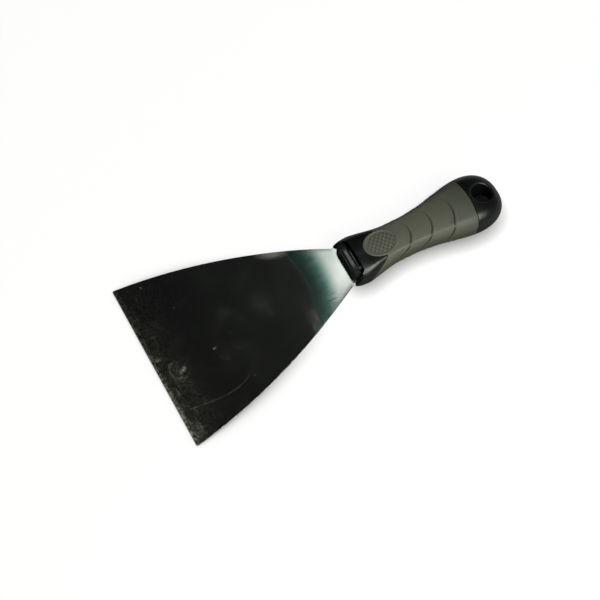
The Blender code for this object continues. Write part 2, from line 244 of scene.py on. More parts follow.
# Floor: plain white bench top. The camera sees it glow near white, with the knife's soft shadow
# kept; all other light falls on it as on white paint
floor = {
    "size": 3.0, "drop": 0.1 * mm, "colour": "#c2c2c2", "glow": 0.93, "mirrorGlow": 0.36, "faint": 0.12,
    "shadowReach": 9 * mm, "shadowPower": 1.1, "roomReach": 150 * mm, "roomPower": 8.0,
    "shadeAt": (0.0951, 0.0045, 0), "shadeRadius": 7.5 * mm, "shadeEdge": 3 * mm, "shadeLevel": 0.01,
}
material, tree, shader = newMaterial("whiteBenchTop")
tree.nodes.remove(shader)
plain = addNode(tree, "BsdfDiffuse", {"Color": linearColour(floor["colour"])})
rays = addNode(tree, "LightPath").outputs
nearby = addNode(tree, "AmbientOcclusion", {"samples": 16, "Distance": floor["shadowReach"]})
around = addNode(tree, "AmbientOcclusion", {"samples": 8, "Distance": floor["roomReach"]})
contact = calculate(tree, "POWER", nearby.outputs["AO"], floor["shadowPower"])
# painted shadow: a dark disc on the bench, the deep shade under the tail, which is what the hang hole looks
# down on
benchPlace = addNode(tree, "TexCoord").outputs["Object"]
fromShade = addNode(tree, "VectorMath", {"operation": "DISTANCE", 0: benchPlace, 1: floor["shadeAt"]})
shadeSpan = (floor["shadeRadius"], floor["shadeRadius"] + floor["shadeEdge"], floor["shadeLevel"], 1)
tailShadowDisc = mapRange(tree, fromShade.outputs["Value"], shadeSpan, True)
darker = calculate(tree, "MULTIPLY", contact, tailShadowDisc)
# reflections see less glow, and least of it close to the knife
mirrored = calculate(tree, "POWER", around.outputs["AO"], floor["roomPower"])
dimmed = calculate(tree, "MULTIPLY", mirrored, floor["mirrorGlow"])
byRay = addNode(tree, "Mix", {"data_type": "FLOAT", 0: rays["Is Glossy Ray"], 2: floor["glow"], 3: dimmed})
strength = calculate(tree, "MULTIPLY", darker, byRay)
glow = addNode(tree, "Emission", {"Color": (1, 1, 1, 1), "Strength": strength})
faint = addNode(tree, "BsdfDiffuse", {"Color": calculate(tree, "MULTIPLY", tailShadowDisc, floor["faint"])})
seen = addNode(tree, "AddShader", {0: glow, 1: faint})
seenBy = calculate(tree, "MAXIMUM", rays["Is Camera Ray"], rays["Is Glossy Ray"])
seenBy = calculate(tree, "MAXIMUM", seenBy, rays["Is Transmission Ray"])
mix = addNode(tree, "MixShader", {0: seenBy, 1: plain, 2: seen})
setNode(tree, tree.nodes["Material Output"], {"Surface": mix})
bm = bmesh.new()
bmesh.ops.create_grid(bm, x_segments=1, y_segments=1, size=floor["size"])
bmesh.ops.translate(bm, verts=bm.verts, vec=(0, 0, -floor["drop"]))
mesh = bpy.data.meshes.new("benchTop")
bm.to_mesh(mesh)
bm.free()
mesh.materials.append(material)
bench = bpy.data.objects.new("benchTop", mesh)
bpy.context.collection.objects.link(bench)
print("camera, light and bench are set")

# The steel: one ground sheet, the fan drawn in to the neck, then shoulders and tang
blade = {
    "width": 0.1000, "length": 0.1130, "neckWidth": 0.0246, "straightShare": 0.38,
    "groundLength": 0.0900, "edge": 0.0005, "stock": 0.0010, "cornerRadius": 0.0008,
    "shoulderStart": 0.0012, "shoulderEnd": 0.0105, "tangWidth": 0.0110, "tangEndWidth": 0.0092,
    "tangLength": 0.0560, "rimRadius": 0.00011, "rollReach": 0.0030, "rollDepth": 0.00003,
    # steps of the mesh, and how much closer they lie towards the long rims
    "cornerSteps": 8, "groundSteps": 60, "setSteps": 46, "shoulderSteps": 16, "tangSteps": 8,
    "acrossSteps": 72, "crowded": 0.6,
}
setLength = blade["length"] - blade["groundLength"]
bladeSlope = (axisZ - blade["edge"] / 2) / (blade["groundLength"] + setLength / 2)


def ease(first, last, share):
    return first + (last - first) * share * share * (3 - 2 * share)


def bladeHalf(x):
    if x <= 0:
        t = 1 + x / blade["length"]
        drawIn = blade["straightShare"] * t + (1 - blade["straightShare"]) * t * t
        half = blade["width"] / 2 - (blade["width"] - blade["neckWidth"]) / 2 * drawIn
        fromEdge = x + blade["length"]
        radius = blade["cornerRadius"]
        if fromEdge < radius:
            half -= radius - math.sqrt(max(radius ** 2 - (radius - fromEdge) ** 2, 0))
        return half
    if x < blade["shoulderStart"]:
        return blade["neckWidth"] / 2
    if x < blade["shoulderEnd"]:
        t = (x - blade["shoulderStart"]) / (blade["shoulderEnd"] - blade["shoulderStart"])
        return ease(blade["neckWidth"], blade["tangWidth"], t) / 2
    t = (x - blade["shoulderEnd"]) / (blade["tangLength"] - blade["shoulderEnd"])
    return (blade["tangWidth"] + (blade["tangEndWidth"] - blade["tangWidth"]) * t) / 2


def bladeMiddle(x):
    # flat and leaning, then bent by the set until it lies along the axis
    fromEdge = x + blade["length"]
    if fromEdge <= blade["groundLength"]:
        return blade["edge"] / 2 - axisZ + bladeSlope * fromEdge
    return -bladeSlope * x * x / (2 * setLength) if x < 0 else 0


def bladeThickness(x):
    share = min((x + blade["length"]) / blade["groundLength"], 1)
    return blade["edge"] + (blade["stock"] - blade["edge"]) * share


def spread(first, last, steps):
    # evenly spaced places, without the last one
    return [first + (last - first) * i / steps for i in range(steps)]


bladeX = [blade["cornerRadius"] * (1 - math.cos(math.pi / 2 * i / blade["cornerSteps"])) - blade["length"]
          for i in range(blade["cornerSteps"])]
bladeX += spread(blade["cornerRadius"] - blade["length"], -setLength, blade["groundSteps"])
bladeX += spread(-setLength, 0, blade["setSteps"])
bladeX += spread(0, blade["shoulderEnd"], blade["shoulderSteps"])
bladeX += spread(blade["shoulderEnd"], blade["tangLength"], blade["tangSteps"])
bladeX.append(blade["tangLength"])


def thicknessAt(x, y):
    # the ground faces fall off a little towards the long rims
    nearRim = max(1 - (bladeHalf(x) - abs(y)) / blade["rollReach"], 0) if x < 0 else 0
    return bladeThickness(x) * (1 - 2 * blade["rollDepth"] / blade["stock"] * nearRim ** 2)


def bladePlace(column, row):
    x = bladeX[column]
    share = 2 * row / blade["acrossSteps"] - 1
    crowded = blade["crowded"]
    y = bladeHalf(x) * ((1 - crowded) * share + crowded * math.sin(math.pi / 2 * share))
    return Vector((x, y, bladeMiddle(x) - thicknessAt(x, y) / 2))


# Cold-rolled spring steel, ground and glazed: a dark mirror when it faces a dark ceiling, with
# a greenish cast; scuffs, flecks and scratches hold dry dust of filler, which scatters light
steel = {
    "roughness": 0.172, "cloudRoughness": 0.02, "usedRoughness": 0.03,
    # tones, and where they hold, as shares of the blade from its edge; the teal and the pale neck are painted
    # reflection tint
    "edgeTone": "#cfcabb", "fieldTone": "#c1c6bf", "tealReflectionTint": "#94c8ba", "streakTone": "#5c9485",
    "neckTone": "#d3ddd4", "dustTone": "#cac8c0", "rustTone": "#a0805c", "stainTone": "#b8a9a4",
    "toneStops": ((0.0, "edgeTone"), (0.20, "fieldTone"), (0.80, "fieldTone"), (0.83, "tealReflectionTint"),
                  (0.89, "tealReflectionTint"), (0.95, "neckTone")),
    # noises: size of the marks, detail, roughness
    "cloudNoise": (14 * mm, 2.5, 0.6), "gritNoise": (1.6 * mm, 4, 0.72), "streakNoise": (0.8 * mm, 2),
    "hairNoise": (9 * mm, 0), "beltNoise": (0.9 * mm, 3, 0.7), "rustNoise": (5 * mm, 4, 0.7),
    "grindNoise": (0.5 * mm, 2),
    # how these are drawn out: turn, scale, shift
    "streakDraw": (0.12, (1, 0.10, 1)), "beltDraw": (-0.09, (0.06, 1, 1)), "grindDraw": (0, (1, 0.02, 1)),
    "hairDraws": ((1.15, (1, 0.07, 1), 0.0), (-0.35, (1, 0.07, 1), 3.1)),
    # spans: where each starts and ends, and how strong it is there
    "cloudSpan": (0.40, 0.72), "nearEdge": (0.22, 0.0), "lowSide": (0.03, -0.03, 0.28, 1.0),
    "veryEdge": (0.026, 0.0, 0, 0.66), "haze": (0.48, 0.75, 0.010, 0.035), "gritLevel": (0.41, 0.70),
    "streakLevel": (0.60, 0.78, 0, 0.26), "hairLine": (0.007, 0.0, 0, 0.035), "hairBroken": (0.50, 0.62),
    "longLine": (0.24 * mm, 0.04 * mm, 0, 0.22), "longEnd": (0.46, 0.36),
    "longBroken": (0.40, 0.60, 0.3, 1), "runOutLine": (0.9 * mm, 0.1 * mm, 0, 0.11),
    "beltZone": (0.065, 0.02), "beltLevel": (0.42, 0.66, 0, 0.6), "rustLevel": (0.54, 0.70, 0, 0.5),
    "dustLevel": (0, 0.12), "setShare": (noseX - 0.030, noseX, 0, -1.3),
    # places and strengths; the run-out bows by bowDepth times the square of y from bowMiddle
    "usedDust": 0.062, "hairLevel": 0.5, "beltAt": 0.862, "runOutAt": -0.0119, "bowMiddle": 0.005,
    "bowDepth": 10, "stainShare": 2.5, "grindStrength": 0.4, "grindDepth": 0.002 * mm,
    # flecks: spacing, size, share of the cells that hold one; then how dusty, how ragged, and the
    # largest radius and the soft rim in sizes
    "flecks": ((10 * mm, 0.5 * mm, 0.18), (2.8 * mm, 0.35 * mm, 0.40)), "fleckDust": 0.24,
    "fleckRagged": 1.2 * mm, "fleckLargest": 1.3, "fleckFade": 0.6,
    # the long scratch: share along the blade, share from y = longFrom to 0
    "longCurve": ((0.0, 0.712), (0.139, 0.681), (0.257, 0.672), (0.335, 0.689), (0.413, 0.744),
                  (1.0, 0.95)), "longFrom": -0.100,
    # dusty ellipses in mm: x, y, turn in degrees, half length, half width, how dusty
    "smear": (-20.0, 26.2, -22, 12, 5.2, 0.40), "stain": (-17.0, -17.9, 4, 2.4, 6.8, 0.30),
    "patches": ((-40.5, 5.0, 30, 11, 8, 0.08), (-59.2, 7.9, 0, 9, 7, 0.06), (-93.0, -10.0, 0, 8, 12, 0.10),
                (-91.7, -8.9, 20, 2.8, 1.9, 0.95), (-71.7, -6.6, 0, 1.6, 1.3, 0.70),
                (-100.9, 2.5, 0, 2.4, 1.8, 0.65), (-96.7, -3.5, 40, 2.2, 1.5, 0.55),
                (-90.5, 44.0, 0, 1.2, 1.2, 0.34), (-94.7, -12.5, 0, 2.0, 2.6, 0.25),
                (-100.0, -42.0, 0, 7, 10, 0.16)),
}


def dustyPatch(tree, place, x, y, turn, reach, width, most):
    # an ellipse that is dustiest in its middle
    local = addNode(tree, "Mapping", {"vector_type": "TEXTURE", "Vector": place,
                                      "Location": (x * mm, y * mm, 0), "Rotation": (0, 0, math.radians(turn)),
                                      "Scale": (reach * mm, width * mm, 1)})
    away = addNode(tree, "VectorMath", {"operation": "LENGTH", 0: local})
    return mapRange(tree, away.outputs["Value"], (1, 0, 0, most), True)


groundSteel, tree, shader = newMaterial("groundSpringSteel")
place = addNode(tree, "TexCoord").outputs["Object"]
axes = addNode(tree, "SeparateXYZ", {0: place}).outputs
bladeSpan = (noseX - blade["length"], noseX)
along = mapRange(tree, axes["X"], bladeSpan)
# cloudy wear, in patches of about a centimetre
cloud = addNoise(tree, place, steel["cloudNoise"])
cloudRough = mapRange(tree, cloud, (*steel["cloudSpan"], steel["roughness"],
                                    steel["roughness"] + steel["cloudRoughness"]))
# used most in the 25 mm behind the scraping edge, and more in its lower half
lowSide = mapRange(tree, axes["Y"], steel["lowSide"], True)
used = calculate(tree, "MULTIPLY", mapRange(tree, along, steel["nearEdge"], True), lowSide)
wornRough = calculate(tree, "MULTIPLY_ADD", used, steel["usedRoughness"], cloudRough)
# where dust lies: in the used zone, on the very edge, in a thin haze and in the patches
haze = mapRange(tree, cloud, steel["haze"])
dusty = calculate(tree, "MULTIPLY_ADD", used, steel["usedDust"], haze)
dusty = calculate(tree, "MULTIPLY_ADD", mapRange(tree, along, steel["veryEdge"]), lowSide, dusty)
stain = dustyPatch(tree, place, *steel["stain"])
for patch in [stain] + [dustyPatch(tree, place, *spot) for spot in steel["patches"]]:
    dusty = calculate(tree, "ADD", dusty, patch)
grit = addNoise(tree, place, steel["gritNoise"])
gritLevel = mapRange(tree, grit, steel["gritLevel"])
dust = calculate(tree, "MULTIPLY", dusty, gritLevel)
# flecks: one cell in a few holds a small dull spot of its own size, with a ragged outline
ragged = addNode(tree, "VectorMath", {"operation": "MULTIPLY_ADD", 0: grit.outputs["Color"],
                                      1: (steel["fleckRagged"],) * 3, 2: place})
flecks = []
for spacing, size, share in steel["flecks"]:
    cells = addNode(tree, "TexVoronoi", {"voronoi_dimensions": "2D", "Vector": ragged, "Scale": 1 / spacing,
                                         "Randomness": 1})
    pick = addNode(tree, "SeparateColor", {0: cells.outputs["Color"]})
    radius = mapRange(tree, pick, (0, share, steel["fleckLargest"] * size / spacing, 0))
    inside = calculate(tree, "SUBTRACT", radius, cells.outputs["Distance"])
    flecks.append(mapRange(tree, inside, (0, steel["fleckFade"] * size / spacing, 0, steel["fleckDust"])))
fleck, speck = flecks
specks = calculate(tree, "MULTIPLY", speck, used)
# short streaks along the edge, where grit was dragged
streak = addNoise(tree, drawOut(tree, place, *steel["streakDraw"]), steel["streakNoise"])
streaks = calculate(tree, "MULTIPLY", mapRange(tree, streak, steel["streakLevel"]), used)
# hair scratches: contour lines of drawn-out noise, in two directions, broken up into lengths
hairBroken = mapRange(tree, cloud, steel["hairBroken"])
hairs = []
for draw in steel["hairDraws"]:
    hair = addNoise(tree, drawOut(tree, place, *draw), steel["hairNoise"], True)
    hairLine = mapRange(tree, awayFrom(tree, hair, steel["hairLevel"]), steel["hairLine"])
    hairs.append(calculate(tree, "MULTIPLY", hairLine, hairBroken))
# one long curved scratch across the lower half, its y drawn as a curve over x
longY = addNode(tree, "FloatCurve", {"curvePoints": steel["longCurve"], "Value": along})
longAt = mapRange(tree, longY, (0, 1, steel["longFrom"], 0))
longLine = mapRange(tree, awayFrom(tree, axes["Y"], longAt), steel["longLine"])
longPart = calculate(tree, "MULTIPLY", longLine, mapRange(tree, along, steel["longEnd"]))
longScratch = calculate(tree, "MULTIPLY", longPart, mapRange(tree, grit, steel["longBroken"]))
# where the flat grinding runs out, a faint pale line bows across the blade
bowFrom = calculate(tree, "SUBTRACT", axes["Y"], steel["bowMiddle"])
bow = calculate(tree, "MULTIPLY", bowFrom, bowFrom)
bowed = calculate(tree, "MULTIPLY_ADD", bow, steel["bowDepth"], axes["X"])
runOutLine = mapRange(tree, awayFrom(tree, bowed, steel["runOutAt"]), steel["runOutLine"])
runOut = calculate(tree, "MULTIPLY", runOutLine, gritLevel)
smear = dustyPatch(tree, place, *steel["smear"])
marks = dust
for mark in [fleck, smear, specks, streaks, longScratch, runOut] + hairs:
    marks = calculate(tree, "ADD", marks, mark)
bare = mapRange(tree, marks, (0, 1, 1, 0))
# painted reflection tint: the teal band and the pale green neck, placed along the bowed run-out
tone = addNode(tree, "ValToRGB", {"stops": [(at, steel[name]) for at, name in steel["toneStops"]],
                                  0: mapRange(tree, bowed, bladeSpan)})
# fine lines of belt grinding along the neck, in the darker teal of the painted reflection tint
belt = addNoise(tree, drawOut(tree, place, *steel["beltDraw"]), steel["beltNoise"])
beltZone = mapRange(tree, awayFrom(tree, along, steel["beltAt"]), steel["beltZone"], True)
beltLines = calculate(tree, "MULTIPLY", beltZone, mapRange(tree, belt, steel["beltLevel"]))
lined = mixColour(tree, beltLines, tone, steel["streakTone"])
# dust, a breath of rust in the used corner, and the pinkish stain in front of the neck
rustLevel = mapRange(tree, addNoise(tree, place, steel["rustNoise"]), steel["rustLevel"])
dusted = mixColour(tree, mapRange(tree, marks, steel["dustLevel"]), lined, steel["dustTone"])
rusty = mixColour(tree, calculate(tree, "MULTIPLY", rustLevel, used), dusted, steel["rustTone"])
colour = mixColour(tree, calculate(tree, "MULTIPLY", stain, steel["stainShare"]), rusty, steel["stainTone"])
# grinding lines across the blade, drawn coarser than the real grit so that they show
grind = addNoise(tree, drawOut(tree, place, *steel["grindDraw"]), steel["grindNoise"])
# the set is rolled a little further round towards the right-hand rim
rolledSide = calculate(tree, "MINIMUM", bowFrom, 0)
rolledBow = calculate(tree, "MULTIPLY", rolledSide, rolledSide)
rolled = calculate(tree, "MULTIPLY", rolledBow, mapRange(tree, axes["X"], steel["setShare"]))
rolledNormal = addNode(tree, "Bump", {"Strength": 1, "Distance": 1, "Height": rolled})
bump = addNode(tree, "Bump", {"Strength": steel["grindStrength"], "Distance": steel["grindDepth"],
                              "Height": grind, "Normal": rolledNormal})
setNode(tree, shader, {"Metallic": bare, "Base Color": colour, "Roughness": wornRough, "Normal": bump})

bm = mappedGrid(len(bladeX) - 1, blade["acrossSteps"], bladePlace)
drawn = bmesh.ops.extrude_face_region(bm, geom=bm.faces[:])
for g in drawn["geom"]:
    if isinstance(g, bmesh.types.BMVert):
        g.co.z += thicknessAt(g.co.x, g.co.y)
bmesh.ops.recalc_face_normals(bm, faces=bm.faces)
rim = [e for e in bm.edges if len(e.link_faces) == 2 and e.calc_face_angle() > math.radians(60)]
bmesh.ops.bevel(bm, geom=rim, offset=blade["rimRadius"], affect="EDGES", segments=2, profile=0.5, material=-1)
print("blade open edges", sum(1 for e in bm.edges if len(e.link_faces) != 2))
addPiece("groundBlade", bm, groundSteel, ["blade"], 30)

# The handle's surface: a crowned face and a rounded side in section, four sizes along it, at
# the nose, collar, waist and swell, and a round tail
handle = {
    "length": 0.0960, "collarAt": 0.0095, "waistAt": 0.0330, "swellAt": 0.0775,
    "width": (0.0252, 0.0282, 0.0208, 0.0326), "height": (0.0164, 0.0174, 0.0154, 0.0204),
    "face": (0.0164, 0.0184, 0.0146, 0.0188), "crown": 0.11, "noseCrown": 0.19,
    "crownEnds": 0.0076, "crownFades": 0.0110, "shoulder": 0.55, "lineFall": 1.10,
    "waistLead": 0.75, "swellLead": 1.35, "tailWidthPower": 2.3, "tailHeightPower": 1.9,
    "sideShare": 0.48, "rows": 208,
}


def halfSize(x, sizes, tailPower):
    nose, collar, waist, swell = sizes
    if x < handle["collarAt"]:
        t = max(x, 0) / handle["collarAt"]
        return (nose + (collar - nose) * (1 - (1 - t) ** 2)) / 2
    if x < handle["waistAt"]:
        t = (x - handle["collarAt"]) / (handle["waistAt"] - handle["collarAt"])
        return ease(collar, waist, t ** handle["waistLead"]) / 2
    if x < handle["swellAt"]:
        t = (x - handle["waistAt"]) / (handle["swellAt"] - handle["waistAt"])
        return ease(waist, swell, t ** handle["swellLead"]) / 2
    t = min((x - handle["swellAt"]) / (handle["length"] - handle["swellAt"]), 1)
    return swell / 2 * (1 - t ** tailPower) ** (1 / tailPower)


def crownAt(x):
    # the collar's face is rounder than the rest
    share = (x - handle["crownEnds"]) / handle["crownFades"]
    return ease(handle["noseCrown"], handle["crown"], min(max(share, 0), 1))


def spokeAt(row):
    # signs of y and z, share across the face, angle down the side
    quarter, t = divmod(4 * (row % handle["rows"]) / handle["rows"], 1)
    ySign, zSign = ((1, 1), (-1, 1), (-1, -1), (1, -1))[int(quarter)]
    if quarter in (1, 3):
        t = 1 - t
    if t < handle["sideShare"]:
        return ySign, zSign, 1, math.pi / 2 * (1 - t / handle["sideShare"])
    return ySign, zSign, (1 - t) / (1 - handle["sideShare"]), 0


def skinPoint(x, spoke, inset):
    ySign, zSign, across, down = spoke
    width = halfSize(x, handle["width"], handle["tailWidthPower"]) - inset
    height = halfSize(x, handle["height"], handle["tailHeightPower"]) - inset
    face = halfSize(x, handle["face"], handle["tailWidthPower"]) - inset / 2
    crown = crownAt(x)
    if down == 0:
        y, z = face * across, height * (1 - crown * across ** 2)
    else:
        ridge = height * (1 - crown)
        reach = (width - face) * handle["shoulder"]
        fall = reach * 2 * crown * height / max(face, 1e-6)
        t = down / (math.pi / 2)
        weights = ((1 - t) ** 3, 3 * t * (1 - t) ** 2, 3 * t * t * (1 - t), t ** 3)
        y = sum(w * p for w, p in zip(weights, (face, face + reach, width, width)))
        z = sum(w * p for w, p in zip(weights, (ridge, ridge - fall, ridge * handle["shoulder"], 0)))
    return Vector((x, ySign * y, zSign * z))


def skinHeight(x, y):
    across = y / halfSize(x, handle["face"], handle["tailWidthPower"])
    return halfSize(x, handle["height"], handle["tailHeightPower"]) * (1 - crownAt(x) * across ** 2)


# Thumb pads: where they are, with their skirt, crest, fall to the field and pits; the grip and
# the body are sunk under them
pad = {
    "centre": 0.0232, "long": 0.0100, "wide": 0.0076, "rim": 0.00050, "field": 0.00022, "sunk": 0.0014,
    "pocket": 0.0009, "pocketEdge": 0.97, "pocketFade": 0.12, "skirt": 0.00012, "skirtRound": 0.05,
    "crest": (0.93, 0.91, 0.89), "fall": 0.05, "fieldEdge": 0.84, "pitFade": 0.06,
    "pitchX": 2.7 * mm, "pitchY": 3.1 * mm, "pitLong": 0.85 * mm, "pitWide": 0.46 * mm, "relief": 0.00036,
    "pitShade": 0.7, "turnSteps": 6, "fieldSteps": 60, "rows": 256,
}


def pocketAt(point):
    across = math.hypot((point.x - pad["centre"]) / pad["long"], point.y / pad["wide"])
    return pad["pocket"] * ease(0, 1, min(max((pad["pocketEdge"] - across) / pad["pocketFade"], 0), 1))


# Lines round the handle: where each is on the top, at the ridge between face and side, and on
# the side; a ring is given by its share of the grip and by how far its sides sweep forward
lines = {
    "front": (0.0180, 0.0232, 0.0112), "back": (0.0776, 0.0768, 0.0738),
    "rings": ((0.312, 0.0115), (0.546, 0.0102), (0.790, 0.0089)), "ringSpan": (0.0232, 0.0776),
    "ringRidge": 0.0026,
}


def lineAt(spoke, top, ridge, side):
    # where a line round the handle is, from the nose
    across, down = spoke[2:]
    if down == 0:
        return top + (ridge - top) * across ** 2
    return ridge + (side - ridge) * (1 - math.cos(down) ** handle["lineFall"])


def lineWithSlope(*line):
    # the line for every row, and how much wider along x a step square to it becomes
    rows = range(handle["rows"] + 1)
    at = [lineAt(spokeAt(r), *line) for r in rows]
    points = [skinPoint(x, spokeAt(r), 0) for r, x in zip(rows, at)]
    wider = []
    for r in rows:
        before, after = (r - 1) % handle["rows"], (r + 1) % handle["rows"]
        reach = (points[after].yz - points[r].yz).length + (points[r].yz - points[before].yz).length
        wider.append(math.sqrt(1 + ((at[after] - at[before]) / max(reach, 1e-6)) ** 2))
    return at, wider


gripFront = lineWithSlope(*lines["front"])
gripBack = lineWithSlope(*lines["back"])
ringLines = []
for share, sweep in lines["rings"]:
    top = lines["ringSpan"][0] + (lines["ringSpan"][1] - lines["ringSpan"][0]) * share
    ringLines.append(lineWithSlope(top, top - lines["ringRidge"], top - sweep))

# Black parts: polypropylene, injection moulded and lightly polished, near-black with a soft
# gloss and the faint unevenness of a moulded skin; edges look rounded as moulded ones are
plastic = {
    "body": "#0f1213", "lips": "#0d0f11", "sheen": "#15181a", "roughness": 0.32, "ior": 1.49,
    "specular": 0.43, "skinNoise": (1.6 * mm, 3), "skinStrength": 0.12, "skinDepth": 0.03 * mm,
    "edgeRadius": 0.30 * mm, "greaseNoise": (9 * mm, 2), "greaseSpan": (0.3, 0.7),
    "smoothest": -0.04, "roughest": 0.06, "lipsSmoother": 0.06, "lipsIor": 1.72,
    "lipsDull": (5 * mm, 8 * mm, 0, 0.45), "lipsGloss": (5 * mm, 7.5 * mm, 1.0, 0.15),
}


def blackPlastic(name, colour, roughness):
    material, tree, shader = newMaterial(name)
    place = addNode(tree, "TexCoord").outputs["Object"]
    grease = addNoise(tree, place, plastic["greaseNoise"])
    rough = mapRange(tree, grease, (*plastic["greaseSpan"], roughness + plastic["smoothest"],
                                    roughness + plastic["roughest"]))
    skin = addNoise(tree, place, plastic["skinNoise"])
    rounded = addNode(tree, "Bevel", {"samples": 8, "Radius": plastic["edgeRadius"]})
    bump = addNode(tree, "Bump", {"Strength": plastic["skinStrength"], "Distance": plastic["skinDepth"],
                                  "Height": skin, "Normal": rounded})
    setNode(tree, shader, {"Base Color": mixColour(tree, grease, colour, plastic["sheen"]),
                           "Roughness": rough, "Normal": bump, "IOR": plastic["ior"],
                           "Specular IOR Level": plastic["specular"]})
    return material, tree, shader, rough


bodyPlastic = blackPlastic("mouldedBlackPolypropylene", plastic["body"], plastic["roughness"])[0]
lipPlastic, tree, shader, rough = blackPlastic("polishedBlackPolypropylene", plastic["lips"],
                                               plastic["roughness"] - plastic["lipsSmoother"])
# the lips are rubbed bright in the middle and duller towards their ends
axes = addNode(tree, "SeparateXYZ", {0: addNode(tree, "TexCoord").outputs["Object"]}).outputs
fromMiddle = calculate(tree, "ABSOLUTE", axes["Y"])
rubbed = calculate(tree, "ADD", mapRange(tree, fromMiddle, plastic["lipsDull"]), rough)
setNode(tree, shader, {"IOR": plastic["lipsIor"], "Roughness": rubbed,
                       "Specular IOR Level": mapRange(tree, fromMiddle, plastic["lipsGloss"])})

# The block moulded round the tang: its lips are the fat bead in front of the collar
block = {
    "lipFront": 0.0016, "lipBack": 0.0066, "lipWidth": 0.0206, "lipCorner": 0.0030,
    "lipHeight": 0.0146, "lipFrontHeight": 0.0034, "alongPower": 0.50, "sectionPower": 0.36,
    "neck": (0.0076, 0.0046), "neckEnd": 0.0105, "waist": (0.0071, 0.0034), "waistAt": 0.0330,
    "length": 0.0590, "endRound": 0.0020, "lipSteps": 48, "endSteps": 6, "rows": 144,
}
# stations: place along x, half width, half height
blockStations = [(block["lipFront"], 0, 0)]
lipMiddle, lipHalf = (block["lipFront"] + block["lipBack"]) / 2, (block["lipBack"] - block["lipFront"]) / 2
for i in range(block["lipSteps"] + 1):
    angle = math.pi * i / block["lipSteps"]
    rise = abs(math.sin(angle)) ** block["alongPower"]
    away = math.copysign(abs(math.cos(angle)) ** block["alongPower"], math.cos(angle))
    foot = block["neck"]
    if i < block["lipSteps"] / 2:
        foot = (block["lipWidth"] / 2 - block["lipCorner"], block["lipFrontHeight"] / 2)
    blockStations.append((lipMiddle - lipHalf * away, foot[0] + (block["lipWidth"] / 2 - foot[0]) * rise,
                          foot[1] + (block["lipHeight"] / 2 - foot[1]) * rise))
blockStations.append((block["neckEnd"], *block["neck"]))
blockStations.append((block["waistAt"], *block["waist"]))
for i in range(block["endSteps"] + 1):
    angle = math.pi / 2 * i / block["endSteps"]
    turnedIn = block["endRound"] * (1 - math.cos(angle))
    blockStations.append((block["length"] - block["endRound"] * (1 - math.sin(angle)),
                          block["waist"][0] - turnedIn, block["waist"][1] - turnedIn))
blockStations.append((block["length"], 0, 0))


def blockPlace(column, row):
    x, width, height = blockStations[column]
    angle = 2 * math.pi * row / block["rows"]
    power = block["sectionPower"]
    y = math.copysign(abs(math.cos(angle)) ** power, math.cos(angle)) * width
    z = math.copysign(abs(math.sin(angle)) ** power, math.sin(angle)) * height
    return Vector((x, y, z))


bm = mappedGrid(len(blockStations) - 1, block["rows"], blockPlace)
addPiece("tangBlock", bm, lipPlastic, ["tang_block"])

# The body: collar with two fangs and the open mouth, core under the grip, tail with its hole
body = {
    "fangStart": 0.0016, "fangTip": 0.0006, "fangPower": 2.2, "collarFront": 0.0082, "ridgeFront": 0.0066,
    "mouthWidth": 0.0216, "mouthCorner": 0.0022, "mouthStraight": 0.0036, "slotHalf": 0.0008,
    "stepRoll": 0.00022, "stepGap": 0.00008, "stepDepth": 0.0023, "holeAt": 0.0856, "holeRadius": 0.0056,
    "flare": 0.0018, "flareDepth": 0.0020, "flareEnd": 80, "over": 0.0050,
    "collarSteps": 64, "rollSteps": 4, "coreSteps": 12, "tailSteps": 72, "fangSteps": 24, "mouthSteps": 12,
    "flareSteps": 12, "holeRows": 96,
}
# stations: which line x starts from (0 nose, 1 grip front, 2 grip back, 3 end), share towards
# the next line, step along x, inset
stepEnd = body["stepGap"] + body["stepRoll"]
rolls = []
for i in range(body["rollSteps"] + 1):
    angle = math.pi / 2 * i / body["rollSteps"]
    rolls.append((body["stepGap"] + body["stepRoll"] * (1 - math.sin(angle)),
                  body["stepRoll"] * (1 - math.cos(angle))))
bodyStations = [(0, 0, 0, None)]
bodyStations += [(0, i / body["collarSteps"], 0, 0) for i in range(body["collarSteps"])]
bodyStations += [(1, 0, -step, inset) for step, inset in rolls]
bodyStations += [(1, i / body["coreSteps"], 0, body["stepDepth"]) for i in range(body["coreSteps"])]
bodyStations.append((2, 0, 0, body["stepDepth"]))
bodyStations += [(2, 0, step, inset) for step, inset in reversed(rolls)]
bodyStations += [(2, math.sin(math.pi / 2 * i / body["tailSteps"]), stepEnd, 0)
                 for i in range(1, body["tailSteps"])]
bodyStations.append((3, 0, 0, None))


def bodyPlace(column, row):
    start, share, step, inset = bodyStations[column]
    row %= handle["rows"]
    starts = (0, gripFront[0][row], gripBack[0][row], handle["length"])
    if inset is None:
        return Vector((starts[start], 0, 0))
    wider = gripFront[1][row] if start < 2 else gripBack[1][row]
    x = starts[start] + step * wider
    if start == 0:
        x = (starts[1] - stepEnd * wider) * share
    elif share:
        x += (starts[start + 1] - x) * share
    spoke = spokeAt(row)
    point = skinPoint(x, spoke, inset)
    if spoke[3] == 0 and start < 2:
        point.z -= math.copysign(pocketAt(point), point.z)
    return point


def fangCutter():
    ridgeHeight = halfSize(body["ridgeFront"], handle["height"], 2) * (1 - crownAt(body["ridgeFront"]))
    above = handle["height"][1] / 2 + body["over"]
    upper = []
    for i in range(body["fangSteps"] + 1):
        t = i / body["fangSteps"]
        x = body["ridgeFront"] - (body["ridgeFront"] - body["fangStart"]) * (1 - t) ** body["fangPower"]
        upper.append((x, 0, body["slotHalf"] + (ridgeHeight - body["slotHalf"]) * t))
    upper.append((body["collarFront"], 0, halfSize(body["collarFront"], handle["height"], 2)))
    upper += [(body["collarFront"], 0, above), (-body["over"], 0, above)]
    lower = [(x, y, -z) for x, y, z in reversed(upper)]
    return outlineSolid(upper + lower, Vector((0, handle["width"][1] + body["over"], 0)))


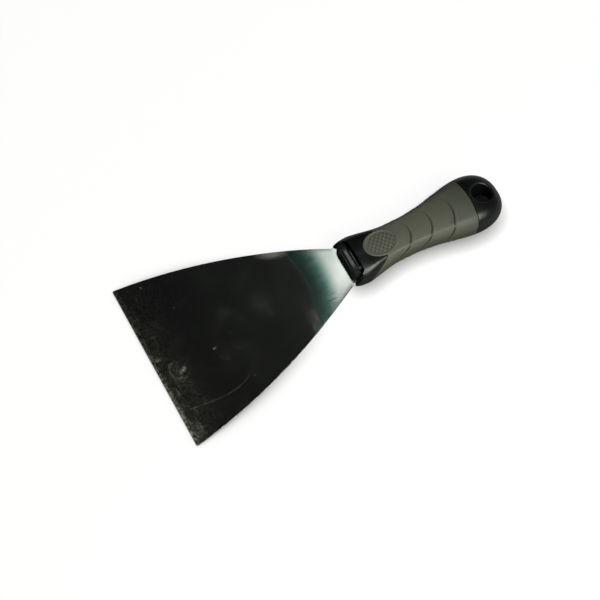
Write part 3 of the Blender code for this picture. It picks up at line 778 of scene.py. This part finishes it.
def mouthCutter():
    half, tipHalf = body["mouthWidth"] / 2, handle["width"][0] / 2 - body["fangTip"]
    side = [(-body["over"], tipHalf, 0)]
    for i in range(body["mouthSteps"] + 1):
        t = i / body["mouthSteps"]
        side.append((body["fangStart"] + (body["mouthStraight"] - body["fangStart"]) * t,
                     half + (tipHalf - half) * (1 - t) ** 2, 0))
    for i in range(body["mouthSteps"] + 1):
        angle = math.pi / 2 * i / body["mouthSteps"]
        side.append((body["collarFront"] - body["mouthCorner"] * (1 - math.sin(angle)),
                     half - body["mouthCorner"] * (1 - math.cos(angle)), 0))
    other = [(x, -y, z) for x, y, z in reversed(side)]
    return outlineSolid(side + other, Vector((0, 0, handle["height"][1] + body["over"])))


def holeCutter():
    # each end opens in a rounded rim that follows the skin: radius and depth under the skin
    above = handle["height"][3] / 2 + body["over"]
    rim = []
    for i in range(body["flareSteps"] + 1):
        angle = math.radians(body["flareEnd"]) * i / body["flareSteps"]
        rim.append((body["holeRadius"] + body["flare"] * (1 - math.cos(angle)),
                    body["flareDepth"] * (1 - math.sin(angle))))
    rim += [(rim[-1][0], None), (0, None)]
    stations = [(-1, *place) for place in reversed(rim)] + [(1, *place) for place in rim]

    def holePlace(column, row):
        side, radius, depth = stations[column]
        angle = 2 * math.pi * row / body["holeRows"]
        x, y = body["holeAt"] + radius * math.cos(angle), radius * math.sin(angle)
        return Vector((x, y, side * (above if depth is None else skinHeight(x, y) - depth)))

    return mappedGrid(len(stations) - 1, body["holeRows"], holePlace)


bm = mappedGrid(len(bodyStations) - 1, handle["rows"], bodyPlace)
bm = cutAway(bm, [fangCutter(), mouthCutter(), holeCutter()])
addPiece("handleBody", bm, bodyPlastic, ["handle_body"], 38)

# The grip: thermoplastic elastomer moulded over the body, matt olive grey, with the fine
# grain of a spark-eroded mould
grip = {
    "tone": "#5e5f56", "paleTone": "#686a60", "tailShadeTone": "#343935", "recessShadeTone": "#2c2d28",
    "sideShadeTone": "#3c372f", "roughness": 0.57, "rubbed": 0.07, "rubNoise": (7 * mm, 4),
    "rubSpan": (0.3, 0.7),
    "grainNoise": (0.30 * mm, 3, 0.7), "grainStrength": 0.25, "grainDepth": 0.05 * mm,
    "tailShadeSpan": (0.058, 0.098, 0, 0.70), "paintedSideShade": (6.5 * mm, 1 * mm, 0, 0.6), "recessShade": 0.6,
    "polish": (-0.10, -0.40), "polishRoughness": 0.10, "specular": 0.5, "polishSpecular": 1.0,
    "wall": 0.0020, "edgeRoll": 0.00035, "rollSteps": 6, "columns": 290, "seatSteps": 12,
    # ring grooves: half width, depth, raised lips, how deep at least and how much more where they are unworn,
    # how unworn they are where they are worn most
    "grooveHalf": 0.00058, "grooveDepth": 0.00075, "grooveLip": 0.2, "grooveLeast": 0.25, "grooveMore": 0.80,
    "grooveWorn": 0.15,
    # the ridge that they cross: where it is down the side, how that changes across the face,
    # its reach, and how much shallower and shinier they are there
    "ridgeDown": 0.30, "ridgeAcross": 2.2, "ridgeReach": 0.20, "ridgeShallow": 0.75, "ridgeShine": 1.9,
}
elastomer, tree, shader = newMaterial("mattGreyElastomer")
place = addNode(tree, "TexCoord").outputs["Object"]
axes = addNode(tree, "SeparateXYZ", {0: place}).outputs
rub = addNoise(tree, place, grip["rubNoise"])
tint = mixColour(tree, rub, grip["tone"], grip["paleTone"])
# painted shade: darker towards the tail, where less light falls on it
tailShaded = mixColour(tree, mapRange(tree, axes["X"], grip["tailShadeSpan"], True), tint, grip["tailShadeTone"])
# painted shade: darker and browner down the side walls, around the height of the axis
paintedSideShade = mapRange(tree, awayFrom(tree, axes["Z"], axisZ), grip["paintedSideShade"], True)
sideShaded = mixColour(tree, paintedSideShade, tailShaded, grip["sideShadeTone"])
# painted shade: grooves and pits are coloured darker; where recess is below 0 the grooves are rubbed shiny
recess = addNode(tree, "Attribute", {"attribute_name": "recess"}).outputs["Fac"]
recessShaded = mixColour(tree, calculate(tree, "MULTIPLY", recess, grip["recessShade"]), sideShaded, grip["recessShadeTone"])
rough = mapRange(tree, rub, (*grip["rubSpan"], grip["roughness"] - grip["rubbed"],
                             grip["roughness"] + grip["rubbed"]))
polish = mapRange(tree, recess, grip["polish"])
polished = addNode(tree, "Mix", {"data_type": "FLOAT", 0: polish, 2: rough, 3: grip["polishRoughness"]})
gloss = addNode(tree, "Mix", {"data_type": "FLOAT", 0: polish, 2: grip["specular"],
                              3: grip["polishSpecular"]})
bump = addNode(tree, "Bump", {"Strength": grip["grainStrength"], "Distance": grip["grainDepth"],
                              "Height": addNoise(tree, place, grip["grainNoise"])})
setNode(tree, shader, {"Base Color": recessShaded, "Roughness": polished, "Specular IOR Level": gloss,
                       "Normal": bump})

# stations: share from front to back, step along x, inset, and whether it is outside
rolls = []
for i in range(grip["rollSteps"] + 1):
    angle = math.pi / 2 * i / grip["rollSteps"]
    rolls.append((grip["edgeRoll"] * (1 - math.cos(angle)), grip["edgeRoll"] * (1 - math.sin(angle))))
gripStations = [(0, 0, grip["wall"], False)]
gripStations += [(0, step, inset, True) for step, inset in rolls]
gripStations += [(i / grip["columns"], grip["edgeRoll"] * (1 - 2 * i / grip["columns"]), 0, True)
                 for i in range(1, grip["columns"])]
gripStations += [(1, -step, inset, True) for step, inset in reversed(rolls)]
gripStations += [(1 - i / grip["seatSteps"], 0, grip["wall"], False) for i in range(grip["seatSteps"] + 1)]


def gripAlong(column, row):
    share, step = gripStations[column][:2]
    front, back = gripFront[0][row % handle["rows"]], gripBack[0][row % handle["rows"]]
    return front + (back - front) * share + step


def grooveAt(column, row):
    # how far into a ring groove, from 1 at its bottom to 0, and below 0 on its raised lips
    row %= handle["rows"]
    for at, wider in ringLines:
        off = abs(gripAlong(column, row) - at[row]) / wider[row] / grip["grooveHalf"]
        if off < 1:
            return 0.5 + 0.5 * math.cos(math.pi * off)
        if off < 3:
            return -grip["grooveLip"] * math.sin(math.pi * (off - 1) / 2) ** 2
    return 0


def grooveShare(row):
    # the grooves are worn away on the left of each face, and deepest down the sides
    ySign, _, across, down = spokeAt(row)
    return max(ease(grip["grooveWorn"], 1, (1 - ySign * across) / 2), math.sin(down))


def ridgeShare(row):
    # where the grooves run shallow and rubbed over the ridge between face and side
    across, down = spokeAt(row)[2:]
    off = down - grip["ridgeDown"] + grip["ridgeAcross"] * (across - 1)
    return math.exp(-(off / grip["ridgeReach"]) ** 2)


def gripPlace(column, row):
    inset, outside = gripStations[column][2:]
    spoke = spokeAt(row)
    if outside:
        depth = grip["grooveDepth"] * (grip["grooveLeast"] + grip["grooveMore"] * grooveShare(row))
        inset += depth * (1 - grip["ridgeShallow"] * ridgeShare(row)) * grooveAt(column, row)
    point = skinPoint(gripAlong(column, row), spoke, inset)
    if outside and spoke[3] == 0:
        point.z -= math.copysign(pocketAt(point), point.z)
    return point


# painted shade: grooves are coloured darker by how deep they are; below 0 over the ridge, where they are
# rubbed shiny
def gripRecess(column, row):
    if not gripStations[column][3]:
        return 0
    return max(grooveAt(column, row), 0) * (grooveShare(row) - grip["ridgeShine"] * ridgeShare(row))


bm = mappedGrid(len(gripStations) - 1, handle["rows"], gripPlace, gripRecess)
addPiece("softGrip", bm, elastomer, ["soft_grip"], 50)

# Thumb pads: an oval with a smooth raised rim and a field of staggered lozenge pits
# stations: share from the centre to the outline, height over the grip's skin
padStations = [(0, None), (1, None), (1, pad["skirt"])]
for i in range(1, pad["turnSteps"] + 1):
    angle = math.pi / 2 * i / pad["turnSteps"]
    padStations.append((1 - pad["skirtRound"] * (1 - math.cos(angle)),
                        pad["skirt"] + (pad["rim"] - pad["skirt"]) * math.sin(angle)))
padStations += [(share, pad["rim"]) for share in pad["crest"]]
for i in range(1, pad["turnSteps"] + 1):
    padStations.append((pad["crest"][-1] - pad["fall"] * i / pad["turnSteps"],
                        ease(pad["rim"], pad["field"], i / pad["turnSteps"])))
padStations += [(pad["fieldEdge"] * (1 - i / pad["fieldSteps"]), pad["field"])
                for i in range(1, pad["fieldSteps"] + 1)]


def padSpot(column, row):
    angle = 2 * math.pi * row / pad["rows"]
    share = padStations[column][0]
    return pad["centre"] + pad["long"] * share * math.cos(angle), pad["wide"] * share * math.sin(angle)


def pitAt(column, row):
    share, raised = padStations[column]
    if raised is None or share >= pad["fieldEdge"]:
        return 0
    x, y = padSpot(column, row)
    depth = 0
    for shift in (0, 0.5):
        offX = (x - pad["centre"]) / pad["pitchX"] + shift
        offY = y / pad["pitchY"] + shift
        offX, offY = (offX - round(offX)) * pad["pitchX"], (offY - round(offY)) * pad["pitchY"]
        depth += math.exp(-(offX / pad["pitWide"]) ** 2 - (offY / pad["pitLong"]) ** 2)
    return depth * min((pad["fieldEdge"] - share) / pad["pitFade"], 1)


# painted shade: the deeper a pit, the darker it is coloured
def padRecess(column, row):
    return pad["pitShade"] * pitAt(column, row)


def padPlace(side, column, row):
    x, y = padSpot(column, row)
    raised = padStations[column][1]
    raised = -pad["sunk"] if raised is None else raised - pad["relief"] * pitAt(column, row)
    return Vector((x, y, side * (skinHeight(x, y) + raised)))


for side, name in ((1, "upperThumbPad"), (-1, "lowerThumbPad")):
    bm = mappedGrid(len(padStations) - 1, pad["rows"], lambda column, row: padPlace(side, column, row),
                    padRecess)
    addPiece(name, bm, elastomer, ["soft_grip"], 60)
